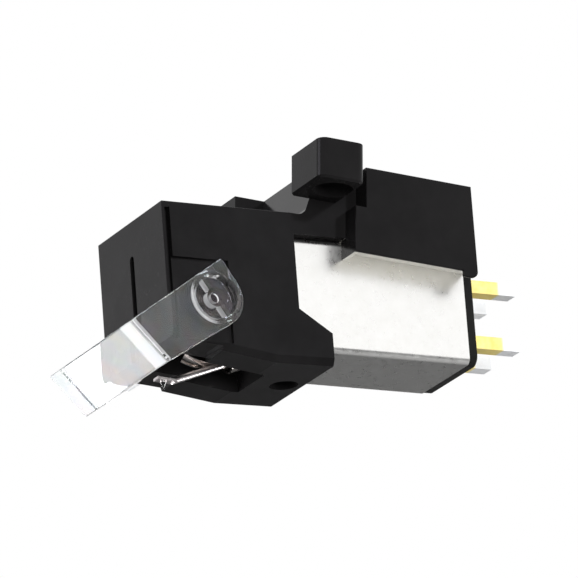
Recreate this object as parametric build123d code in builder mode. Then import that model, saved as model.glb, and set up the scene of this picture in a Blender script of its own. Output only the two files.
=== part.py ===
# Moving-magnet turntable cartridge: bracket, shielded generator, pull-off stylus and clear flip-down guard.
# Millimetres. X runs across, Y to the rear where the terminal pins are, Z up to the headshell.
# The origin lies midway between the two mounting holes, on the top face of the ears.
# Sizes marked (generator) are measured along the can, which is pitched nose-down under the level bracket.
import os
from math import cos, radians, sin, tan

from build123d import *

os.makedirs("parts", exist_ok=True)

# Mounting ears at the standard half-inch spacing
mount_spacing = 12.7
mount_hole_d = 2.7
ear_reach = 2.05
ear_length = 3.4
ear_height = 2.8
ear_lead = 0.3
ear_corner_r = 0.6
ear_edge_chamfer = 0.15

# Bracket neck between the ears
neck_overhang = 0.6
neck_top_y = 0.2
neck_lean = 17.6
neck_fillet = 0.75
ledge_top_z = -4.05

# Bracket rear block, its cheeks beside the can and the foot behind them
block_front_y = 2.05
block_notch_y = 2.85
block_notch_z = -3.3
block_top_z = -0.45
block_bottom_z = -6.55
block_edge_r = 0.06
cheek_overhang = 2.1
cheek_rise = 0.54
cheek_front_wall = 0.3
foot_length = 1.1
foot_width = 0.2
foot_drop = 0.4
foot_corner_r = 0.45

# Generator and shield can (generator)
generator_pitch = 4.7
can_width = 7.2
can_height = 7.9
can_wall = 0.4
can_corner_r = 0.45
can_top_z = -5.32
can_front_y = -3.25
can_rear_y = 10.74

# Terminal block and pins (generator)
plate_thickness = 0.6
plate_corner_r = 0.7
plug_depth = 2.1
plug_gap = 0.02
pin_width = 1.1
pin_height = 0.9
pin_pitch_x = 4.0
pin_pitch_z = 3.95
pin_length = 4.1
pin_tail = 0.8
pin_chamfer = 0.15

# Pole pieces, yoke and pole holder (generator)
pole_thickness = 0.6
pole_depth = 1.0
pole_leg_y = -1.9
pole_leg_length = 1.2
pole_toe_reach = 1.95
pole_floor_gap = 0.1
yoke_thickness = 0.7
yoke_height = 2.4
yoke_margin = 0.35
pole_holder_thickness = 1.0
seat_gap = 0.04

# Coils (generator)
bobbin_front_y = 0.6
bobbin_rear_gap = 0.9
bobbin_wall = 0.45
flange_thickness = 0.35
flange_side_gap = 0.2
flange_end_gap = 0.45
coil_margin = 0.15
coil_corner_r = 0.6
coil_gap = 0.2

# Stylus holder (generator)
socket_gap = 0.05
holder_wall = 1.15
holder_roof = 1.19
holder_floor = 1.3
holder_front_y = -12.36
holder_rear_y = -2.63
shoe_rear_y = -0.26
shoe_slope_top = 2.42
shoe_slope_low = 0.87
heel_y = -4.57
heel_drop = 0.07
belly_break_y = -8.46
belly_rise = 7.7
nose_step = 0.3
nose_rise = 4.5
skirt_width = 0.25
skirt_height = 0.5
holder_edge_r = 0.06
slit_width = 0.6
slit_depth = 0.35
slit_drop = 2.37
groove_front_land = 0.2
groove_top_land = 0.42
groove_width = 0.38
groove_depth = 0.6
recess_drop = 3.82
recess_rise = 0.92
recess_rear_y = -7.7
recess_depth = 0.3
slot_width = 4.0
slot_rear_y = -4.05
slot_low_roof = 2.17
slot_high_roof = 5.37
slot_high_rear_y = -5.6
front_wall = 1.0
dimple_d = 1.95
dimple_y = -1.65
dimple_depth = 0.9
boss_width = 1.9
boss_front_y = -5.3

# Stylus: sleeve, damper, cantilever, magnet and tip
pivot_y = -5.07
pivot_rise = 1.43
cantilever_drop = 20.0
sleeve_d = 1.4
sleeve_bore = 1.1
sleeve_back = 1.55
sleeve_front = 0.85
lip_bend_r = 4.0
lip_turn = 45.0
glue_gap = 0.01
damper_length = 0.5
damper_play = 0.06
cantilever_d = 0.45
cantilever_bore = 0.27
cantilever_reach = 5.3
paddle_width = 0.7
paddle_thickness = 0.18
paddle_length = 1.15
paddle_root = 0.3
magnet_d = 0.75
magnet_length = 0.8
magnet_back = 0.35
anchor_length = 0.3
wire_d = 0.1
wire_play = 0.12
shank_d = 0.42
shank_length = 0.1
tip_length = 0.4
tip_r = 0.02

# Clear guard
guard_y = -9.5
guard_rise = 3.57
guard_drop = 34.2
guard_side_gap = 0.15
guard_arm_thickness = 1.2
guard_visor_thickness = 0.9
guard_reach_top = 6.58
guard_reach_low = 5.99
guard_rise_front = 1.83
guard_rise_rear = 1.95
guard_fall_front = 1.76
guard_boss_r = 2.05
guard_edge_r = 0.12
cup_d = 3.0
cup_depth = 0.6
rim_width = 0.36
rim_height = 0.2
rim_chamfer = 0.1
cup_hub_d = 1.3
cup_hub_bore = 0.8
cup_rib = 0.3
stud_d = 2.0
stud_length = 0.8
stud_play = 0.05
stud_end_gap = 0.1

# Places that follow from the sizes
pitch_cos = cos(radians(generator_pitch))
pitch_sin = sin(radians(generator_pitch))
gen_side = Plane(origin=(0, 0, 0), x_dir=(0, pitch_cos, pitch_sin), z_dir=(1, 0, 0))
gen_front = Plane(origin=(0, 0, 0), x_dir=(1, 0, 0), z_dir=(0, -pitch_cos, -pitch_sin))
gen_below = Plane(origin=(0, 0, 0), x_dir=(1, 0, 0), z_dir=(0, pitch_sin, -pitch_cos))
level_front = Plane(origin=(0, 0, 0), x_dir=(1, 0, 0), z_dir=(0, -1, 0))
gen_run = Axis((0, 0, 0), (0, pitch_cos, pitch_sin))
gen_rise = Axis((0, 0, 0), (0, -pitch_sin, pitch_cos))
neck_x = can_width / 2 + neck_overhang
neck_foot_y = neck_top_y + ledge_top_z * tan(radians(neck_lean))
ear_x = mount_spacing / 2
ear_width = ear_x + ear_reach - neck_x
cheek_x = can_width / 2 + cheek_overhang
foot_low_z = block_bottom_z - foot_drop
can_mid_z = can_top_z - can_height / 2
can_bottom_z = can_top_z - can_height
can_inner_width = can_width - 2 * can_wall
can_inner_height = can_height - 2 * can_wall
can_inner_r = can_corner_r / 2
ledge_low_z = can_top_z * pitch_cos + (holder_rear_y + socket_gap) * pitch_sin
holder_x = can_width / 2 + socket_gap + holder_wall
holder_top_z = can_top_z + socket_gap + holder_roof
holder_bottom_z = can_bottom_z - socket_gap - holder_floor
slit_top_z = holder_top_z - slit_drop
groove_top_z = holder_top_z - groove_top_land
recess_top_z = holder_top_z - recess_drop
recess_low_z = holder_bottom_z + recess_rise
slot_low_roof_z = holder_bottom_z + slot_low_roof
slot_high_roof_z = holder_bottom_z + slot_high_roof
pivot_z = holder_bottom_z + pivot_rise
guard_z = holder_bottom_z + guard_rise
heel_z = holder_bottom_z - heel_drop
belly_front_z = heel_z + (heel_y - holder_front_y) * tan(radians(belly_rise))
nose_rear_z = heel_z + (heel_y - belly_break_y) * tan(radians(belly_rise)) + nose_step
nose_front_z = nose_rear_z + (belly_break_y - holder_front_y) * tan(radians(nose_rise))
groove_rear_y = holder_front_y + groove_front_land + groove_width
flange_width = (can_inner_width - coil_gap) / 2 - flange_side_gap
flange_height = can_inner_height - 2 * flange_end_gap
pole_x = (flange_width + coil_gap) / 2
bobbin_tube_width = pole_thickness + 2 * (plug_gap + bobbin_wall)
bobbin_tube_height = pole_depth + 2 * (plug_gap + bobbin_wall)
winding_width = flange_width - 2 * coil_margin
winding_height = flange_height - 2 * coil_margin
toe_low_z = can_bottom_z + can_wall + pole_floor_gap
toe_front_y = can_front_y - pole_toe_reach
yoke_front_y = can_rear_y - plug_depth - seat_gap - yoke_thickness
bobbin_length = yoke_front_y - bobbin_rear_gap - bobbin_front_y
pin_span = pin_tail + plug_depth + plate_thickness + pin_length
guard_inner_x = holder_x + guard_side_gap
guard_outer_x = guard_inner_x + guard_arm_thickness
stud_reach = recess_depth + guard_side_gap + stud_length


def level_z(y, generator_z):
    """Height, in the level frame, of a line along the generator at a given level Y."""
    return (generator_z + y * pitch_sin) / pitch_cos


def level_y(generator_y, z):
    """Level Y of a plane across the generator at a given level height."""
    return (generator_y - z * pitch_sin) / pitch_cos


def along(y, z, drop):
    """Plane across a line that starts at a generator point and drops forward by an angle from the can."""
    turn = radians(drop + generator_pitch)
    start = (0, y * pitch_cos - z * pitch_sin, y * pitch_sin + z * pitch_cos)
    return Plane(origin=start, x_dir=(1, 0, 0), z_dir=(0, -cos(turn), -sin(turn)))


stylus = along(pivot_y, pivot_z, cantilever_drop)
guard_cross = along(guard_y, guard_z, guard_drop)
guard_side = Plane(origin=guard_cross.origin, x_dir=guard_cross.z_dir, z_dir=(-1, 0, 0))
stylus_side = Plane(origin=stylus.origin, x_dir=stylus.z_dir, z_dir=(-1, 0, 0))
paddle = Plane(origin=stylus.offset(cantilever_reach).origin, x_dir=(1, 0, 0), z_dir=(0, -1, 0))
tip_down = Plane(origin=paddle.offset(paddle_length / 2).origin, x_dir=(1, 0, 0), z_dir=(0, 0, -1))

# Mounting bracket: ears, leaning neck and rear block with cheeks beside the can
with BuildPart() as mounting_bracket:
    with BuildSketch(Plane.XY) as ear_plan:
        with Locations((neck_x + ear_width / 2, -ear_lead)):
            Rectangle(ear_width, ear_length)
        fillet(ear_plan.vertices().group_by(Axis.X)[-1], radius=ear_corner_r)
        mirror(about=Plane.YZ)
    extrude(amount=-ear_height)
    # Lower rims of the ears broken, apart from their inner edges
    ear_rims = mounting_bracket.faces().sort_by(Axis.Z)[:2].edges()
    chamfer(ear_rims.filter_by(lambda e: abs(e.center().X) > neck_x + glue_gap), length=ear_edge_chamfer)
    # Neck with its leaning front face and its forward ledge along the top of the can
    with BuildSketch(Plane.YZ) as neck_profile:
        with BuildLine():
            Polyline(
                (neck_top_y, 0),
                (block_notch_y, 0),
                (block_notch_y, level_z(block_notch_y, can_top_z)),
                (level_y(holder_rear_y + socket_gap, ledge_low_z), ledge_low_z),
                (level_y(holder_rear_y + socket_gap, ledge_top_z), ledge_top_z),
                (neck_foot_y, ledge_top_z),
                close=True,
            )
        make_face()
        fillet(neck_profile.vertices().sort_by_distance((neck_foot_y, ledge_top_z))[0], radius=neck_fillet)
    extrude(amount=neck_x, both=True)
    # Rear block, cut square to the can at the back, with a foot along its lower rear edge
    foot_front_y = level_y(can_rear_y - foot_length, block_bottom_z)
    with BuildSketch(Plane.YZ) as block_profile:
        with BuildLine():
            Polyline(
                (block_notch_y, block_top_z),
                (level_y(can_rear_y, block_top_z), block_top_z),
                (level_y(can_rear_y, foot_low_z), foot_low_z),
                (foot_front_y, foot_low_z),
                (foot_front_y, block_bottom_z),
                (block_front_y, block_bottom_z),
                (block_front_y, block_notch_z),
                (block_notch_y, block_notch_z),
                close=True,
            )
        make_face()
        rear_corner = (level_y(can_rear_y, foot_low_z), foot_low_z)
        fillet(block_profile.vertices().sort_by_distance(rear_corner)[0], radius=foot_corner_r)
    extrude(amount=cheek_x, both=True)
    cheek_faces = mounting_bracket.faces().filter_by(lambda f: abs(abs(f.center().X) - cheek_x) < glue_gap)
    fillet(cheek_faces.edges(), radius=block_edge_r)
    # Seat of the can between the cheeks, whose undersides rise towards it behind a front wall
    with BuildSketch(gen_front.offset(-can_rear_y - cheek_overhang)):
        with Locations((0, can_mid_z)):
            Rectangle(can_width, can_height)
    extrude(amount=can_rear_y - holder_front_y, mode=Mode.SUBTRACT)
    with BuildSketch(level_front.offset(-can_rear_y - cheek_overhang)):
        with BuildLine():
            Polyline(
                (can_width / 2, block_bottom_z + cheek_rise),
                (cheek_x - foot_width, block_bottom_z),
                (cheek_x - foot_width, foot_low_z - foot_drop),
                (can_width / 2, foot_low_z - foot_drop),
                close=True,
            )
        make_face()
        mirror(about=Plane.YZ)
    extrude(amount=can_rear_y + cheek_overhang - block_front_y - cheek_front_wall, mode=Mode.SUBTRACT)
    # Screw holes through the ears
    with Locations((ear_x, 0), (-ear_x, 0)):
        Hole(mount_hole_d / 2, depth=ear_height)
mounting_bracket.part.label = "mounting_bracket"
export_step(mounting_bracket.part, "parts/mounting_bracket.step")

# Shield can: bright sheet-metal sleeve with rounded long edges
with BuildPart() as shield_can:
    with BuildSketch(gen_front.offset(-can_rear_y)):
        with Locations((0, can_mid_z)):
            RectangleRounded(can_width, can_height, can_corner_r)
            RectangleRounded(can_inner_width, can_inner_height, can_inner_r, mode=Mode.SUBTRACT)
    extrude(amount=can_rear_y - can_front_y)
shield_can.part.label = "shield_can"
export_step(shield_can.part, "parts/shield_can.step")

# Terminal block: rear plate with a plug that closes the can and square holes for the pins
with BuildPart() as terminal_block:
    with BuildSketch(gen_front.offset(-can_rear_y)):
        with Locations((0, can_mid_z)):
            RectangleRounded(can_width, can_height, plate_corner_r)
    extrude(amount=-plate_thickness)
    with BuildSketch(gen_front.offset(-can_rear_y)):
        with Locations((0, can_mid_z)):
            RectangleRounded(can_inner_width - 2 * plug_gap, can_inner_height - 2 * plug_gap, can_inner_r)
    extrude(amount=plug_depth)
    with BuildSketch(gen_front.offset(-can_rear_y - plate_thickness)):
        with Locations((0, can_mid_z)):
            with GridLocations(pin_pitch_x, pin_pitch_z, 2, 2):
                Rectangle(pin_width, pin_height)
    extrude(amount=plate_thickness + plug_depth, mode=Mode.SUBTRACT)
terminal_block.part.label = "terminal_block"
export_step(terminal_block.part, "parts/terminal_block.step")

# Terminal pins: four square posts, one pair for each channel
pin_places = {
    "pin_left_signal": (-1, 1),
    "pin_right_signal": (1, 1),
    "pin_left_return": (-1, -1),
    "pin_right_return": (1, -1),
}
for pin_name, (pin_column, pin_row) in pin_places.items():
    with BuildPart() as terminal_pin:
        with BuildSketch(gen_front.offset(-can_rear_y - plate_thickness - pin_length)):
            with Locations((pin_column * pin_pitch_x / 2, can_mid_z + pin_row * pin_pitch_z / 2)):
                Rectangle(pin_width, pin_height)
        extrude(amount=pin_span)
        chamfer(terminal_pin.faces().sort_by(Axis.Y)[-1].edges(), length=pin_chamfer)
    terminal_pin.part.label = pin_name
    export_step(terminal_pin.part, "parts/" + pin_name + ".step")

# Yoke: soft-iron bar that joins the rear ends of the pole pieces
with BuildPart() as yoke:
    with BuildSketch(gen_front.offset(-yoke_front_y - yoke_thickness)):
        with Locations((0, can_mid_z)):
            Rectangle(2 * pole_x + pole_thickness + 2 * yoke_margin, yoke_height)
    extrude(amount=yoke_thickness)
yoke.part.label = "yoke"
export_step(yoke.part, "parts/yoke.step")

# Pole holder: plastic plate in the mouth of the can, slotted for the pole toes
with BuildPart() as pole_holder:
    with BuildSketch(gen_front.offset(-can_front_y)):
        with Locations((0, can_mid_z)):
            RectangleRounded(can_inner_width - 2 * plug_gap, can_inner_height - 2 * plug_gap, can_inner_r)
        with Locations((pole_x, toe_low_z + pole_depth / 2), (-pole_x, toe_low_z + pole_depth / 2)):
            Rectangle(pole_thickness + 2 * plug_gap, pole_depth + 2 * plug_gap, mode=Mode.SUBTRACT)
    extrude(amount=-pole_holder_thickness)
pole_holder.part.label = "pole_holder"
export_step(pole_holder.part, "parts/pole_holder.step")

# Each channel: a flat pole piece with a toe beside the magnet, a bobbin on its bar and a copper winding
for channel, side in (("left", -1), ("right", 1)):
    with BuildPart() as pole_piece:
        with BuildSketch(gen_side.offset(side * pole_x - pole_thickness / 2)):
            with BuildLine():
                Polyline(
                    (yoke_front_y, can_mid_z + pole_depth / 2),
                    (pole_leg_y, can_mid_z + pole_depth / 2),
                    (pole_leg_y, toe_low_z + pole_depth),
                    (toe_front_y, toe_low_z + pole_depth),
                    (toe_front_y, toe_low_z),
                    (pole_leg_y + pole_leg_length, toe_low_z),
                    (pole_leg_y + pole_leg_length, can_mid_z - pole_depth / 2),
                    (yoke_front_y, can_mid_z - pole_depth / 2),
                    close=True,
                )
            make_face()
        extrude(amount=pole_thickness)
    pole_piece.part.label = "pole_piece_" + channel
    export_step(pole_piece.part, "parts/pole_piece_" + channel + ".step")

    with BuildPart() as bobbin:
        with BuildSketch(gen_front.offset(-bobbin_front_y)):
            with Locations((side * pole_x, can_mid_z)):
                Rectangle(flange_width, flange_height)
        extrude(amount=-flange_thickness)
        with BuildSketch(gen_front.offset(-bobbin_front_y - bobbin_length + flange_thickness)):
            with Locations((side * pole_x, can_mid_z)):
                Rectangle(flange_width, flange_height)
        extrude(amount=-flange_thickness)
        with BuildSketch(gen_front.offset(-bobbin_front_y)):
            with Locations((side * pole_x, can_mid_z)):
                Rectangle(bobbin_tube_width, bobbin_tube_height)
        extrude(amount=-bobbin_length)
        with BuildSketch(gen_front.offset(-bobbin_front_y)):
            with Locations((side * pole_x, can_mid_z)):
                Rectangle(pole_thickness + 2 * plug_gap, pole_depth + 2 * plug_gap)
        extrude(amount=-bobbin_length, mode=Mode.SUBTRACT)
    bobbin.part.label = "bobbin_" + channel
    export_step(bobbin.part, "parts/bobbin_" + channel + ".step")

    with BuildPart() as winding:
        with BuildSketch(gen_front.offset(-bobbin_front_y - flange_thickness)):
            with Locations((side * pole_x, can_mid_z)):
                RectangleRounded(winding_width, winding_height, coil_corner_r)
                Rectangle(bobbin_tube_width, bobbin_tube_height, mode=Mode.SUBTRACT)
        extrude(amount=-(bobbin_length - 2 * flange_thickness))
    winding.part.label = "winding_" + channel
    export_step(winding.part, "parts/winding_" + channel + ".step")

# Stylus holder: moulded grip that slips over the front of the can, with a shoe under it
with BuildPart() as stylus_holder:
    with BuildSketch(gen_side):
        with BuildLine():
            Polyline(
                (holder_front_y, holder_top_z),
                (holder_rear_y, holder_top_z),
                (holder_rear_y, can_bottom_z + shoe_slope_top),
                (shoe_rear_y, can_bottom_z + shoe_slope_low),
                (shoe_rear_y, holder_bottom_z),
                (heel_y, heel_z),
                (holder_front_y, belly_front_z),
                close=True,
            )
        make_face()
    extrude(amount=holder_x, both=True)
    # Skirt edges chamfered under both sides, edges of the top and front faces eased
    for side_face in stylus_holder.faces().filter_by(Axis.X):
        low_edges = side_face.edges().filter_by(lambda e: e.center().Z < can_bottom_z)
        skirt_edges = low_edges.filter_by(lambda e: abs(e.tangent_at().Y) > 0.9)
        chamfer(skirt_edges, length=skirt_height, length2=skirt_width, reference=side_face)
    top_edges = stylus_holder.faces().sort_by(gen_rise)[-1].edges()
    front_edges = stylus_holder.faces().sort_by(gen_run)[0].edges()
    fillet(top_edges + front_edges, radius=holder_edge_r)
    # Nose stepped up from the belly
    with BuildSketch(gen_side):
        with BuildLine():
            Polyline(
                (belly_break_y, nose_rear_z),
                (holder_front_y, nose_front_z),
                (holder_front_y, holder_bottom_z - holder_floor),
                (belly_break_y, holder_bottom_z - holder_floor),
                close=True,
            )
        make_face()
    extrude(amount=holder_x, both=True, mode=Mode.SUBTRACT)
    # Open slot below for the cantilever, low over the sleeve and high at the nose
    with BuildSketch(gen_side):
        with BuildLine():
            Polyline(
                (slot_rear_y, holder_bottom_z - holder_floor),
                (slot_rear_y, slot_low_roof_z),
                (slot_high_rear_y, slot_low_roof_z),
                (slot_high_rear_y, slot_high_roof_z),
                (holder_front_y + front_wall, slot_high_roof_z),
                (holder_front_y + front_wall, holder_bottom_z - holder_floor),
                close=True,
            )
        make_face()
    extrude(amount=slot_width / 2, both=True, mode=Mode.SUBTRACT)
    # Socket for the can
    with BuildSketch(gen_front.offset(-shoe_rear_y - holder_floor)):
        with Locations((0, can_mid_z)):
            RectangleRounded(can_width + 2 * socket_gap, can_height + 2 * socket_gap, can_corner_r)
    extrude(amount=shoe_rear_y + holder_floor - can_front_y + socket_gap, mode=Mode.SUBTRACT)
    # Windows in the socket floor for the two pole toes
    with BuildSketch(gen_front.offset(-can_front_y)):
        with Locations((pole_x, toe_low_z + pole_depth / 2), (-pole_x, toe_low_z + pole_depth / 2)):
            Rectangle(pole_thickness + 2 * socket_gap, pole_depth + 2 * socket_gap)
    extrude(amount=pole_toe_reach + socket_gap, mode=Mode.SUBTRACT)
    # Boss under the slot roof that carries the sleeve, bored along the cantilever
    with BuildSketch(gen_side):
        with BuildLine():
            Polyline(
                (slot_rear_y, slot_low_roof_z),
                (boss_front_y, slot_low_roof_z),
                (boss_front_y, pivot_z),
                (slot_rear_y, pivot_z),
                close=True,
            )
        make_face()
    extrude(amount=boss_width / 2, both=True)
    with BuildSketch(stylus.offset(-sleeve_back - holder_wall)):
        Circle(sleeve_d / 2 + glue_gap)
    extrude(amount=sleeve_back + holder_wall + sleeve_front, mode=Mode.SUBTRACT)
    # Side recesses for the guard arms, each with a groove behind the front edge and a pivot hole
    for side in (-1, 1):
        with BuildSketch(gen_side.offset(side * holder_x)):
            with BuildLine():
                Polyline(
                    (groove_rear_y, recess_top_z),
                    (recess_rear_y, recess_top_z),
                    (recess_rear_y, recess_low_z),
                    (groove_rear_y, recess_low_z),
                    close=True,
                )
            make_face()
        extrude(amount=-side * recess_depth, mode=Mode.SUBTRACT)
        with BuildSketch(gen_side.offset(side * holder_x)):
            with BuildLine():
                Polyline(
                    (groove_rear_y - groove_width, groove_top_z),
                    (groove_rear_y, groove_top_z),
                    (groove_rear_y, recess_low_z),
                    (groove_rear_y - groove_width, recess_low_z),
                    close=True,
                )
            make_face()
        extrude(amount=-side * groove_depth, mode=Mode.SUBTRACT)
        with BuildSketch(gen_side.offset(side * (holder_x - recess_depth))):
            with Locations((guard_y, guard_z)):
                Circle(stud_d / 2 + stud_play)
        extrude(amount=-side * (stud_length + stud_end_gap), mode=Mode.SUBTRACT)
    # Alignment slit down the front face
    with BuildSketch(gen_front.offset(-holder_front_y)):
        with Locations((0, slit_top_z - slit_width / 2)):
            Circle(slit_width / 2)
        with BuildLine():
            Polyline(
                (-slit_width / 2, slit_top_z - slit_width / 2),
                (slit_width / 2, slit_top_z - slit_width / 2),
                (slit_width / 2, holder_bottom_z),
                (-slit_width / 2, holder_bottom_z),
                close=True,
            )
        make_face()
    extrude(amount=-slit_depth, mode=Mode.SUBTRACT)
    # Round dimple under the shoe
    with BuildSketch(gen_below.offset(-heel_z)):
        with Locations((0, -dimple_y)):
            Circle(dimple_d / 2)
    extrude(amount=-(heel_drop + dimple_depth), mode=Mode.SUBTRACT)
stylus_holder.part.label = "stylus_holder"
export_step(stylus_holder.part, "parts/stylus_holder.step")

# Stylus sleeve: metal tube in the boss, its upper half carried on and curled up above the cantilever
with BuildPart() as stylus_sleeve:
    with BuildSketch(stylus.offset(-sleeve_back)):
        Circle(sleeve_d / 2)
        Circle(sleeve_bore / 2, mode=Mode.SUBTRACT)
    extrude(amount=sleeve_back + sleeve_front)
    with BuildLine(stylus_side):
        CenterArc((sleeve_front, lip_bend_r), lip_bend_r, 270, lip_turn)
    with BuildSketch(stylus.offset(sleeve_front)):
        Circle(sleeve_d / 2)
        Circle(sleeve_bore / 2, mode=Mode.SUBTRACT)
        Rectangle(sleeve_d, sleeve_d, align=(Align.CENTER, Align.MAX), mode=Mode.SUBTRACT)
    sweep()
stylus_sleeve.part.label = "stylus_sleeve"
export_step(stylus_sleeve.part, "parts/stylus_sleeve.step")

# Damper: rubber ring in the sleeve that carries the cantilever at its pivot
with BuildPart() as damper:
    with BuildSketch(stylus.offset(-damper_length / 2)):
        Circle(sleeve_bore / 2 - glue_gap)
        Circle(cantilever_d / 2 + damper_play, mode=Mode.SUBTRACT)
    extrude(amount=damper_length)
damper.part.label = "damper"
export_step(damper.part, "parts/damper.step")

# Tie anchor: plug in the rear end of the sleeve
with BuildPart() as tie_anchor:
    with BuildSketch(stylus.offset(-sleeve_back)):
        Circle(sleeve_bore / 2 - glue_gap)
        Circle(wire_d / 2 + wire_play, mode=Mode.SUBTRACT)
    extrude(amount=anchor_length)
tie_anchor.part.label = "tie_anchor"
export_step(tie_anchor.part, "parts/tie_anchor.step")

# Cantilever: thin metal tube, its front end flattened and levelled where the tip is set
with BuildPart() as cantilever:
    with BuildSketch(stylus.offset(-magnet_back)):
        Circle(cantilever_d / 2)
        Circle(cantilever_bore / 2, mode=Mode.SUBTRACT)
    extrude(amount=magnet_back + cantilever_reach)
    with BuildSketch(paddle.offset(-paddle_root)):
        Rectangle(paddle_width, paddle_thickness)
    extrude(amount=paddle_root + paddle_length)
cantilever.part.label = "cantilever"
export_step(cantilever.part, "parts/cantilever.step")

# Magnet: small rod on the rear end of the cantilever
with BuildPart() as magnet:
    with BuildSketch(stylus.offset(-magnet_back)):
        Circle(magnet_d / 2)
    extrude(amount=-magnet_length)
magnet.part.label = "magnet"
export_step(magnet.part, "parts/magnet.step")

# Tie wire: fine wire from the magnet back through the anchor
with BuildPart() as tie_wire:
    with BuildSketch(stylus.offset(-magnet_back - magnet_length)):
        Circle(wire_d / 2)
    extrude(amount=-(sleeve_back - magnet_back - magnet_length))
tie_wire.part.label = "tie_wire"
export_step(tie_wire.part, "parts/tie_wire.step")

# Tip shank and diamond: set square to the record under the flattened end
with BuildPart() as tip_shank:
    with BuildSketch(tip_down.offset(paddle_thickness / 2)):
        Circle(shank_d / 2)
    extrude(amount=shank_length)
tip_shank.part.label = "tip_shank"
export_step(tip_shank.part, "parts/tip_shank.step")

with BuildPart() as diamond_tip:
    with BuildSketch(tip_down.offset(paddle_thickness / 2 + shank_length)):
        Circle(shank_d / 2)
    with BuildSketch(tip_down.offset(paddle_thickness / 2 + shank_length + tip_length)):
        Circle(tip_r)
    loft()
diamond_tip.part.label = "diamond_tip"
export_step(diamond_tip.part, "parts/diamond_tip.step")

# Clear guard: two arms and a front visor in one moulding, on studs in the holder's sides
with BuildPart() as stylus_guard:
    with BuildSketch(guard_side):
        with BuildLine():
            top_edge = Line((-guard_boss_r, guard_rise_rear), (guard_reach_top, guard_rise_front))
            front_edge = Line(top_edge @ 1, (guard_reach_low, -guard_fall_front))
            low_edge = Line(front_edge @ 1, (0, -guard_boss_r))
            rear_round = CenterArc((0, 0), guard_boss_r, 270, -90)
            rear_edge = Line(rear_round @ 1, top_edge @ 0)
        make_face()
    extrude(amount=guard_outer_x, both=True)
    fillet(stylus_guard.edges(), radius=guard_edge_r)
    with BuildSketch(guard_side):
        with BuildLine():
            Polyline(
                (-2 * guard_boss_r, 2 * guard_boss_r),
                (guard_reach_top - guard_visor_thickness, 2 * guard_boss_r),
                (guard_reach_top - guard_visor_thickness, guard_rise_front),
                (guard_reach_low - guard_visor_thickness, -guard_fall_front),
                (guard_reach_low - guard_visor_thickness, -2 * guard_boss_r),
                (-2 * guard_boss_r, -2 * guard_boss_r),
                close=True,
            )
        make_face()
    extrude(amount=guard_inner_x, both=True, mode=Mode.SUBTRACT)
    # Cup in the outer face of each arm, with a hub and a rib across it, and the stud behind it
    for side in (-1, 1):
        with BuildSketch(guard_side.offset(side * guard_outer_x)):
            Circle(cup_d / 2)
            Circle(cup_hub_d / 2, mode=Mode.SUBTRACT)
            Rectangle(cup_rib, cup_d, mode=Mode.SUBTRACT)
            Circle(cup_hub_bore / 2)
        extrude(amount=-side * cup_depth, mode=Mode.SUBTRACT)
        with BuildSketch(guard_side.offset(side * guard_inner_x)):
            Circle(stud_d / 2)
        extrude(amount=-side * stud_reach)
    # Raised rims of the two cups, their edges broken
    with BuildSketch(guard_cross) as rim_profile:
        with Locations((guard_outer_x + rim_height / 2, (cup_d + rim_width) / 2)):
            Rectangle(rim_height, rim_width)
        chamfer(rim_profile.vertices().group_by(Axis.X)[-1], length=rim_chamfer)
        mirror(about=Plane.YZ)
    revolve(axis=Axis(guard_cross.origin, (1, 0, 0)))
stylus_guard.part.label = "stylus_guard"
export_step(stylus_guard.part, "parts/stylus_guard.step")
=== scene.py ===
import math

import bpy
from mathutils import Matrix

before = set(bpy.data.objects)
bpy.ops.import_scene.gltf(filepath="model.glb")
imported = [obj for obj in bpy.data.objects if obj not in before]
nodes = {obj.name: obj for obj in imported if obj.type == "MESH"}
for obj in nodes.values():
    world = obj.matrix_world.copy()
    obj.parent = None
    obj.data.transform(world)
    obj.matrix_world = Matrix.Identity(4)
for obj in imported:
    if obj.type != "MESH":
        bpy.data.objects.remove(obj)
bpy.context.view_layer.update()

# Mounting bracket: one injection moulding in black plastic, polished in the tool, that screws up under a
# headshell by its two ears. Its faces carry the faint cloudiness and fine grain of a moulded skin, and a pale
# cream painted reflection of the bright can lines the undersides of the cheeks beside the can.
MICRON = 1e-6
GENERATOR_PITCH = math.radians(4.7)
NOISE_LOW, NOISE_HIGH = 0.3, 0.7
BLACK_LOW, BLACK_HIGH = 0.35, 0.65
BRACKET_TONES = (0.0130, 0.0124, 0.0126), (0.0185, 0.0178, 0.0180)
BRACKET_ROUGHNESS = 0.10, 0.20
POLISH_LEVEL = 0.085
POLISH_TINT = (0.95, 0.94, 1.0, 1)
# Painted reflection of the can on the cheek undersides: its cream tones, and the facing, front and edge limits
# of its mask.
CHEEK_REFLECTION_TONES = (0.80, 0.78, 0.71), (0.88, 0.86, 0.80)
CHEEK_REFLECTION_FACING = 0.75, 0.9
CHEEK_REFLECTION_FRONT_Y = 0.00205
CHEEK_REFLECTION_EDGE_X = 0.0055
CHEEK_REFLECTION_BLUR = 0.00005


def new_finish(name):
    """A material with its node tree and its shader."""
    finish = bpy.data.materials.new(name)
    finish.use_nodes = True
    return finish, finish.node_tree, finish.node_tree.nodes["Principled BSDF"]


def cloud(tree, scale, stretch=(1, 1, 1), detail=4.0, roughness=0.55):
    """Noise fixed to the piece and lined up with the pitched generator, with scale patches to the metre."""
    place = tree.nodes.new("ShaderNodeTexCoord")
    line_up = tree.nodes.new("ShaderNodeMapping")
    line_up.inputs["Rotation"].default_value = (-GENERATOR_PITCH, 0, 0)
    line_up.inputs["Scale"].default_value = stretch
    noise = tree.nodes.new("ShaderNodeTexNoise")
    noise.inputs["Scale"].default_value = scale
    noise.inputs["Detail"].default_value = detail
    noise.inputs["Roughness"].default_value = roughness
    tree.links.new(place.outputs["Object"], line_up.inputs["Vector"])
    tree.links.new(line_up.outputs["Vector"], noise.inputs["Vector"])
    return noise.outputs["Fac"]


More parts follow.
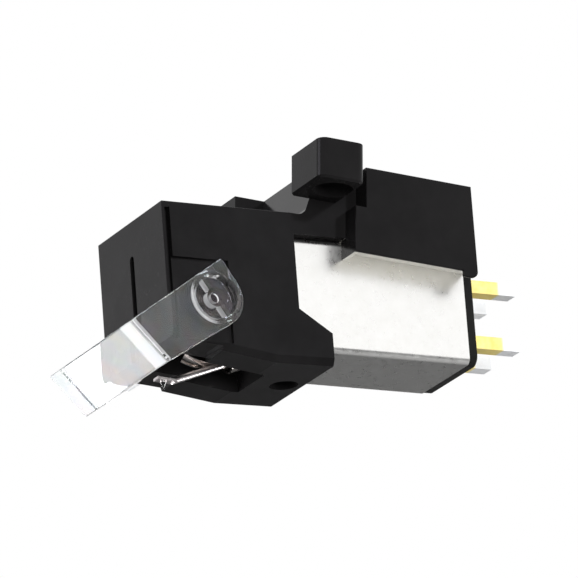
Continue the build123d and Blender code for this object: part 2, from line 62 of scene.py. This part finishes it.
def shades(tree, noise, tones, low=NOISE_LOW, high=NOISE_HIGH):
    """Two tones laid along noise."""
    node = tree.nodes.new("ShaderNodeValToRGB")
    for element, position, tone in zip(node.color_ramp.elements, (low, high), tones):
        element.position = position
        element.color = (*tone, 1)
    tree.links.new(noise, node.inputs["Fac"])
    return node.outputs["Color"]


def carry(tree, value, start, stop, low=0.0, high=1.0):
    """A value's run from start to stop carried to the range from low to high, and held at its ends."""
    node = tree.nodes.new("ShaderNodeMapRange")
    node.inputs["From Min"].default_value = start
    node.inputs["From Max"].default_value = stop
    node.inputs["To Min"].default_value = low
    node.inputs["To Max"].default_value = high
    tree.links.new(value, node.inputs["Value"])
    return node.outputs["Result"]


def spread(tree, noise, limits):
    """Noise carried to a pair of limits."""
    return carry(tree, noise, NOISE_LOW, NOISE_HIGH, *limits)


def past(tree, value, edge, blur):
    """0 before an edge and 1 past it, or the other way round for a negative blur."""
    return carry(tree, value, edge - blur, edge + blur)


def along(tree, coordinate, direction):
    """How far the piece's own point or normal reaches in a direction."""
    place = tree.nodes.new("ShaderNodeTexCoord")
    node = tree.nodes.new("ShaderNodeVectorMath")
    node.operation = "DOT_PRODUCT"
    node.inputs[1].default_value = direction
    tree.links.new(place.outputs[coordinate], node.inputs[0])
    return node.outputs["Value"]


def worked(tree, operation, *values):
    """One step of arithmetic on values."""
    node = tree.nodes.new("ShaderNodeMath")
    node.operation = operation
    for socket, value in zip(node.inputs, values):
        tree.links.new(value, socket)
    return node.outputs["Value"]


def from_middle(tree):
    """Distance of the piece's own point from the plane that halves the cartridge."""
    return worked(tree, "ABSOLUTE", along(tree, "Object", (1, 0, 0)))


def overlap(tree, first, second, third):
    """1 only where three masks are all 1."""
    return worked(tree, "MULTIPLY", worked(tree, "MULTIPLY", first, second), third)


def blend(tree, share, colour, other):
    """One colour where the share is 0 and the other where it is 1."""
    node = tree.nodes.new("ShaderNodeMix")
    node.data_type = "RGBA"
    tree.links.new(share, node.inputs["Factor"])
    tree.links.new(colour, node.inputs["A"])
    tree.links.new(other, node.inputs["B"])
    return node.outputs["Result"]


def feed(shader, socket, value):
    """A value drives one input of a shader."""
    shader.id_data.links.new(value, shader.inputs[socket])


def relief(tree, shader, value, height, strength=0.5):
    """Bump of a given height in metres."""
    node = tree.nodes.new("ShaderNodeBump")
    node.inputs["Strength"].default_value = strength
    node.inputs["Distance"].default_value = height
    tree.links.new(value, node.inputs["Height"])
    feed(shader, "Normal", node.outputs["Normal"])


def wear(finish, *node_names):
    """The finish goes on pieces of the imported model."""
    for node_name in node_names:
        slots = nodes[node_name].data.materials
        slots.clear()
        slots.append(finish)


bracket_black, tree, shader = new_finish("bracket_black")
shader.inputs["Specular IOR Level"].default_value = POLISH_LEVEL
shader.inputs["Specular Tint"].default_value = POLISH_TINT
moulded = shades(tree, cloud(tree, 260), BRACKET_TONES, BLACK_LOW, BLACK_HIGH)
# Painted reflection: the downward faces of the cheeks beside the can are coloured pale cream, standing in for
# the bright can they mirror.
painted_reflection = shades(tree, cloud(tree, 1500), CHEEK_REFLECTION_TONES)
underside = carry(tree, along(tree, "Normal", (0, 0, -1)), *CHEEK_REFLECTION_FACING)
behind_front = past(tree, along(tree, "Object", (0, 1, 0)), CHEEK_REFLECTION_FRONT_Y, CHEEK_REFLECTION_BLUR)
inside_edge = past(tree, from_middle(tree), CHEEK_REFLECTION_EDGE_X, -CHEEK_REFLECTION_BLUR)
reflection_mask = overlap(tree, underside, behind_front, inside_edge)
feed(shader, "Base Color", blend(tree, reflection_mask, moulded, painted_reflection))
feed(shader, "Roughness", spread(tree, cloud(tree, 900, detail=6), BRACKET_ROUGHNESS))
relief(tree, shader, cloud(tree, 6500, detail=2), 4 * MICRON)
wear(bracket_black, "mounting_bracket")

# Shield can: a sleeve of thin plated sheet with rounded long edges, that screens the coils.
# Its satin plating is almost white on the lit side, with a faint fine mottle.
CAN_TONES = (0.90, 0.895, 0.87), (0.955, 0.95, 0.935)
CAN_ROUGHNESS = 0.26, 0.34
can_satin, tree, shader = new_finish("can_satin")
shader.inputs["Metallic"].default_value = 1.0
feed(shader, "Base Color", shades(tree, cloud(tree, 900, detail=8, roughness=0.7), CAN_TONES))
feed(shader, "Roughness", spread(tree, cloud(tree, 2400, detail=5), CAN_ROUGHNESS))
relief(tree, shader, cloud(tree, 5200, detail=4), 3 * MICRON, strength=0.4)
wear(can_satin, "shield_can")

# Terminal block: black moulded plate and plug that closes the rear of the can and holds the pins.
# It is less polished than the bracket.
BLOCK_TONES = (0.009, 0.009, 0.009), (0.014, 0.014, 0.013)
BLOCK_ROUGHNESS = 0.34, 0.5
BLOCK_POLISH_LEVEL = 0.12
block_black, tree, shader = new_finish("block_black")
shader.inputs["Specular IOR Level"].default_value = BLOCK_POLISH_LEVEL
feed(shader, "Base Color", shades(tree, cloud(tree, 700), BLOCK_TONES, BLACK_LOW, BLACK_HIGH))
feed(shader, "Roughness", spread(tree, cloud(tree, 2500, detail=5), BLOCK_ROUGHNESS))
relief(tree, shader, cloud(tree, 9000, detail=2), 6 * MICRON, strength=0.6)
wear(block_black, "terminal_block")

# Terminal pins: square posts, gold-plated where they leave the block and tinned on their outer ends.
# The gold stops on a clean line, a little over two and a half millimetres behind the plate.
GOLD_TONES = (0.96, 0.80, 0.28), (0.99, 0.87, 0.41)
TIN_TONES = (0.92, 0.93, 0.94), (0.97, 0.98, 0.99)
PIN_ROUGHNESS = 0.55, 0.68
REARWARD = (0, math.cos(GENERATOR_PITCH), math.sin(GENERATOR_PITCH))
GOLD_END = 0.0140
GOLD_BLUR = 0.0001
pin_plating, tree, shader = new_finish("pin_plating")
shader.inputs["Metallic"].default_value = 1.0
tinned = past(tree, along(tree, "Object", REARWARD), GOLD_END, GOLD_BLUR)
gold = shades(tree, cloud(tree, 1800), GOLD_TONES)
tin = shades(tree, cloud(tree, 2600), TIN_TONES)
feed(shader, "Base Color", blend(tree, tinned, gold, tin))
feed(shader, "Roughness", spread(tree, cloud(tree, 4000, detail=5), PIN_ROUGHNESS))
relief(tree, shader, cloud(tree, 7000, detail=3), 8 * MICRON)
wear(pin_plating, "pin_left_signal", "pin_right_signal", "pin_left_return", "pin_right_return")

# Pole pieces and yoke: soft-iron strip with a satin grey surface, that carries the magnet's field to the coils.
# They lie inside the can, and only the toes reach forward beside the magnet.
POLE_TONES = (0.66, 0.66, 0.67), (0.82, 0.82, 0.82)
POLE_ROUGHNESS = 0.28, 0.45
pole_grey, tree, shader = new_finish("pole_grey")
shader.inputs["Metallic"].default_value = 1.0
feed(shader, "Base Color", shades(tree, cloud(tree, 1200), POLE_TONES))
feed(shader, "Roughness", spread(tree, cloud(tree, 3000, stretch=(1, 0.1, 1)), POLE_ROUGHNESS))
relief(tree, shader, cloud(tree, 6000, stretch=(1, 0.08, 1)), 5 * MICRON)
wear(pole_grey, "pole_piece_left", "pole_piece_right", "yoke")

# Bobbins and pole holder: natural nylon mouldings that hold the coils and the pole pieces in the can.
# They are milky, matte and never seen once the can is closed.
NYLON_TONES = (0.66, 0.63, 0.56), (0.74, 0.71, 0.64)
NYLON_ROUGHNESS = 0.5, 0.65
NYLON_MILKINESS = 0.15
NYLON_LIGHT_DEPTH = (0.0006, 0.0005, 0.0004)
bobbin_nylon, tree, shader = new_finish("bobbin_nylon")
shader.inputs["Subsurface Weight"].default_value = NYLON_MILKINESS
shader.inputs["Subsurface Radius"].default_value = NYLON_LIGHT_DEPTH
feed(shader, "Base Color", shades(tree, cloud(tree, 800), NYLON_TONES))
feed(shader, "Roughness", spread(tree, cloud(tree, 3000), NYLON_ROUGHNESS))
relief(tree, shader, cloud(tree, 8000), 6 * MICRON, strength=0.4)
wear(bobbin_nylon, "bobbin_left", "bobbin_right", "pole_holder")

# Coil windings: hair-fine enamelled copper wire, wound in layers on each bobbin.
# The turns lie side by side along the bobbin and show as fine ribs.
COPPER_TONES = (0.50, 0.20, 0.09), (0.68, 0.31, 0.15)
COPPER_ROUGHNESS = 0.28, 0.42
ENAMEL_WEIGHT = 0.5
ENAMEL_ROUGHNESS = 0.15
TURNS_SCALE = 3200
TURNS_WANDER = 0.6
coil_copper, tree, shader = new_finish("coil_copper")
shader.inputs["Metallic"].default_value = 1.0
shader.inputs["Coat Weight"].default_value = ENAMEL_WEIGHT
shader.inputs["Coat Roughness"].default_value = ENAMEL_ROUGHNESS
feed(shader, "Base Color", shades(tree, cloud(tree, 1500, stretch=(0.3, 1, 0.3)), COPPER_TONES))
feed(shader, "Roughness", spread(tree, cloud(tree, 2500), COPPER_ROUGHNESS))
winding_place = tree.nodes.new("ShaderNodeTexCoord")
turns = tree.nodes.new("ShaderNodeTexWave")
turns.bands_direction = "Y"
turns.inputs["Scale"].default_value = TURNS_SCALE
turns.inputs["Distortion"].default_value = TURNS_WANDER
tree.links.new(winding_place.outputs["Object"], turns.inputs["Vector"])
relief(tree, shader, turns.outputs["Fac"], 20 * MICRON, strength=0.8)
wear(coil_copper, "winding_left", "winding_right")

# Stylus holder: the black moulded grip that slips over the can and carries the needle.
# It is polished like the bracket, and has the same fine grain.
HOLDER_TONES = (0.0130, 0.0125, 0.0128), (0.0185, 0.0180, 0.0184)
HOLDER_ROUGHNESS = 0.10, 0.20
holder_black, tree, shader = new_finish("holder_black")
shader.inputs["Specular IOR Level"].default_value = POLISH_LEVEL
shader.inputs["Specular Tint"].default_value = POLISH_TINT
feed(shader, "Base Color", shades(tree, cloud(tree, 320), HOLDER_TONES, BLACK_LOW, BLACK_HIGH))
feed(shader, "Roughness", spread(tree, cloud(tree, 1100, detail=6), HOLDER_ROUGHNESS))
relief(tree, shader, cloud(tree, 7000, detail=2), 4 * MICRON)
wear(holder_black, "stylus_holder")

# Sleeve, tie anchor and tie wire: bright drawn steel with a warm cast, pressed into the holder's boss.
# Fine drawing lines run along the tube, and it mirrors the dark slot around it.
SLEEVE_TONES = (0.60, 0.56, 0.53), (0.72, 0.68, 0.65)
SLEEVE_ROUGHNESS = 0.03, 0.09
sleeve_bright, tree, shader = new_finish("sleeve_bright")
shader.inputs["Metallic"].default_value = 1.0
feed(shader, "Base Color", shades(tree, cloud(tree, 2000), SLEEVE_TONES))
feed(shader, "Roughness", spread(tree, cloud(tree, 5000, stretch=(1, 0.1, 1)), SLEEVE_ROUGHNESS))
relief(tree, shader, cloud(tree, 9000, stretch=(1, 0.06, 1)), 3 * MICRON)
wear(sleeve_bright, "stylus_sleeve", "tie_anchor", "tie_wire")

# Damper: a ring of black rubber that carries the needle at its pivot.
# It is dull and slightly dusty.
DAMPER_TONES = (0.016, 0.016, 0.016), (0.030, 0.030, 0.030)
DAMPER_ROUGHNESS = 0.6, 0.8
damper_rubber, tree, shader = new_finish("damper_rubber")
feed(shader, "Base Color", shades(tree, cloud(tree, 3000), DAMPER_TONES))
feed(shader, "Roughness", spread(tree, cloud(tree, 6000), DAMPER_ROUGHNESS))
relief(tree, shader, cloud(tree, 12000), 8 * MICRON, strength=0.6)
wear(damper_rubber, "damper")

# Cantilever: a thin drawn aluminium tube, flattened at the front where the tip is set.
# It is bright, with a faint warm cast.
CANTILEVER_TONES = (0.80, 0.75, 0.75), (0.88, 0.84, 0.84)
CANTILEVER_ROUGHNESS = 0.26, 0.38
cantilever_bright, tree, shader = new_finish("cantilever_bright")
shader.inputs["Metallic"].default_value = 1.0
feed(shader, "Base Color", shades(tree, cloud(tree, 2500), CANTILEVER_TONES))
feed(shader, "Roughness", spread(tree, cloud(tree, 5000, stretch=(1, 0.1, 1)), CANTILEVER_ROUGHNESS))
relief(tree, shader, cloud(tree, 9000, stretch=(1, 0.05, 1)), 3 * MICRON)
wear(cantilever_bright, "cantilever")

# Magnet: a ground rod of dark magnet alloy on the needle's rear end, hidden between the pole toes.
# It is matte grey.
MAGNET_TONES = (0.20, 0.20, 0.21), (0.32, 0.32, 0.33)
MAGNET_ROUGHNESS = 0.35, 0.5
magnet_grey, tree, shader = new_finish("magnet_grey")
shader.inputs["Metallic"].default_value = 1.0
feed(shader, "Base Color", shades(tree, cloud(tree, 3000), MAGNET_TONES))
feed(shader, "Roughness", spread(tree, cloud(tree, 5000), MAGNET_ROUGHNESS))
relief(tree, shader, cloud(tree, 9000), 5 * MICRON)
wear(magnet_grey, "magnet")

# Tip shank and diamond: a titanium shank under the flattened end, ground to carry the diamond point.
# The diamond is clear with a trace of straw colour.
SHANK_TONES = (0.58, 0.57, 0.56), (0.72, 0.71, 0.70)
SHANK_ROUGHNESS = 0.2, 0.32
DIAMOND_TONES = (0.95, 0.93, 0.88), (0.98, 0.97, 0.95)
DIAMOND_ROUGHNESS = 0.02, 0.08
DIAMOND_IOR = 2.42
shank_metal, tree, shader = new_finish("shank_metal")
shader.inputs["Metallic"].default_value = 1.0
feed(shader, "Base Color", shades(tree, cloud(tree, 4000), SHANK_TONES))
feed(shader, "Roughness", spread(tree, cloud(tree, 7000), SHANK_ROUGHNESS))
wear(shank_metal, "tip_shank")
diamond_clear, tree, shader = new_finish("diamond_clear")
shader.inputs["Transmission Weight"].default_value = 1.0
shader.inputs["IOR"].default_value = DIAMOND_IOR
feed(shader, "Base Color", shades(tree, cloud(tree, 4000), DIAMOND_TONES))
feed(shader, "Roughness", spread(tree, cloud(tree, 8000), DIAMOND_ROUGHNESS))
wear(diamond_clear, "diamond_tip")

# Stylus guard: one clear moulding, two arms and a visor, that flips up on studs in the holder's sides.
# Handling has left a patchy haze on it and stress in the moulding a faint play of colours, and a painted
# highlight whitens its two sides where they face ahead of the pivots.
GUARD_TONES = (0.95, 0.96, 0.97), (0.99, 0.99, 1.0)
GUARD_ROUGHNESS = 0.0, 0.03
GUARD_IOR = 1.49
STRESS_FILM_IOR = 1.46
STRESS_FILM_NANOMETRES = 280, 520
GUARD_CLARITY = 0.945, 1.0
# Painted highlight on the guard's sides: how clear it stays, and the facing and place limits of its mask.
HIGHLIGHT_CLARITY = 0.15
GUARD_DROP = math.radians(38.9)
GUARD_AHEAD = (0, -math.cos(GUARD_DROP), -math.sin(GUARD_DROP))
HIGHLIGHT_FACING = 0.4, 0.65
HIGHLIGHT_INNER_X = 0.00455
HIGHLIGHT_BLUR = 0.00004
PIVOT_REACH = 0.01404
PIVOT_BLUR = 0.0002
guard_clear, tree, shader = new_finish("guard_clear")
shader.inputs["IOR"].default_value = GUARD_IOR
shader.inputs["Thin Film IOR"].default_value = STRESS_FILM_IOR
feed(shader, "Base Color", shades(tree, cloud(tree, 500), GUARD_TONES))
feed(shader, "Roughness", spread(tree, cloud(tree, 700, detail=5), GUARD_ROUGHNESS))
feed(shader, "Thin Film Thickness", spread(tree, cloud(tree, 320, detail=3), STRESS_FILM_NANOMETRES))
relief(tree, shader, cloud(tree, 900, detail=3), 10 * MICRON, strength=0.25)
# Painted highlight: side faces ahead of the pivots and turned ahead lose clarity and show the white base colour.
at_side = past(tree, from_middle(tree), HIGHLIGHT_INNER_X, HIGHLIGHT_BLUR)
ahead_of_pivot = past(tree, along(tree, "Object", GUARD_AHEAD), PIVOT_REACH, PIVOT_BLUR)
facing_ahead = carry(tree, along(tree, "Normal", GUARD_AHEAD), *HIGHLIGHT_FACING)
haze_and_highlight = tree.nodes.new("ShaderNodeMapRange")
feed(haze_and_highlight, "Value", overlap(tree, at_side, ahead_of_pivot, facing_ahead))
feed(haze_and_highlight, "To Min", spread(tree, cloud(tree, 300, detail=2), GUARD_CLARITY))
haze_and_highlight.inputs["To Max"].default_value = HIGHLIGHT_CLARITY
feed(shader, "Transmission Weight", haze_and_highlight.outputs["Result"])
wear(guard_clear, "stylus_guard")

# Stage: a plain pale floor far below the hanging cartridge, surroundings that show white, and wide soft lamps.
# One lamp stands on the near side, one in front, one above, one low on the left for the visor and one low behind
# for the pins.
FLOOR_WIDTH = 16
FLOOR_Z = -0.60
FLOOR_TONE = (0.60, 0.60, 0.60, 1)
FLOOR_ROUGHNESS = 0.9
FLOOR_POLISH_LEVEL = 0.1
SURROUNDINGS_TONE = (1, 1, 1, 1)
SURROUNDINGS_FILL = 0.09
OBJECT_MIDDLE = (0.0, 0.0, -0.009)
VISOR_MIDDLE = (0.0, -0.011, -0.015)
COOL_WHITE = (0.95, 0.93, 1.0)
bpy.ops.mesh.primitive_plane_add(size=FLOOR_WIDTH, location=(0, 0, FLOOR_Z))
floor = bpy.context.object
floor.name = "studio_floor"
floor_pale, tree, shader = new_finish("floor_pale")
shader.inputs["Base Color"].default_value = FLOOR_TONE
shader.inputs["Roughness"].default_value = FLOOR_ROUGHNESS
shader.inputs["Specular IOR Level"].default_value = FLOOR_POLISH_LEVEL
floor.data.materials.append(floor_pale)

surroundings = bpy.data.worlds.new("surroundings")
bpy.context.scene.world = surroundings
surroundings.use_nodes = True
tree = surroundings.node_tree
backdrop = tree.nodes["Background"]
backdrop.inputs["Color"].default_value = SURROUNDINGS_TONE
path = tree.nodes.new("ShaderNodeLightPath")
seen_or_mirrored = worked(tree, "MAXIMUM", path.outputs["Is Camera Ray"], path.outputs["Is Glossy Ray"])
in_view = worked(tree, "MAXIMUM", seen_or_mirrored, path.outputs["Is Transmission Ray"])
feed(backdrop, "Strength", carry(tree, in_view, 0, 1, low=SURROUNDINGS_FILL))


def soft_lamp(name, place, aim, width, power, colour=(1, 1, 1)):
    """A square lamp that faces a point, its width in metres and its power in watts."""
    bpy.ops.object.light_add(type="AREA", location=place)
    lamp = bpy.context.object
    lamp.name = name
    lamp.data.size = width
    lamp.data.energy = power
    lamp.data.color = colour
    dx, dy, dz = (a - b for a, b in zip(aim, place))
    lamp.rotation_euler = (math.atan2(math.hypot(dx, dy), -dz), 0, math.atan2(dy, dx) - math.pi / 2)


soft_lamp("near_side_lamp", (0.60, -0.12, -0.02), OBJECT_MIDDLE, width=0.30, power=2.2)
soft_lamp("guard_lamp", (-0.496, -0.277, -0.275), VISOR_MIDDLE, width=0.50, power=3.4)
soft_lamp("front_lamp", (-0.10, -0.60, 0.30), OBJECT_MIDDLE, width=0.35, power=1.5, colour=COOL_WHITE)
soft_lamp("rear_lamp", (0.16, 0.585, -0.234), OBJECT_MIDDLE, width=0.30, power=2.2)
soft_lamp("top_lamp", (-0.02, -0.03, 0.60), OBJECT_MIDDLE, width=0.22, power=1.6)

# Camera: below the cartridge and ahead of its right side, looking up at it through a long lens,
# as the photograph was taken.
CAMERA_PLACE = (0.392403, -0.201221, -0.169821)
CAMERA_TILT = math.radians(90 + 20.18)
CAMERA_TURN = math.radians(62.857)
FILM_WIDTH_MM = 36
LENS_MM = 436.4
NEAREST_SEEN, FARTHEST_SEEN = 0.01, 20
bpy.ops.object.camera_add(location=CAMERA_PLACE, rotation=(CAMERA_TILT, 0, CAMERA_TURN))
camera = bpy.context.object
camera.name = "photo_camera"
camera.data.sensor_width = FILM_WIDTH_MM
camera.data.lens = LENS_MM
camera.data.clip_start = NEAREST_SEEN
camera.data.clip_end = FARTHEST_SEEN
bpy.context.scene.camera = camera
bpy.context.scene.view_settings.view_transform = "Standard"
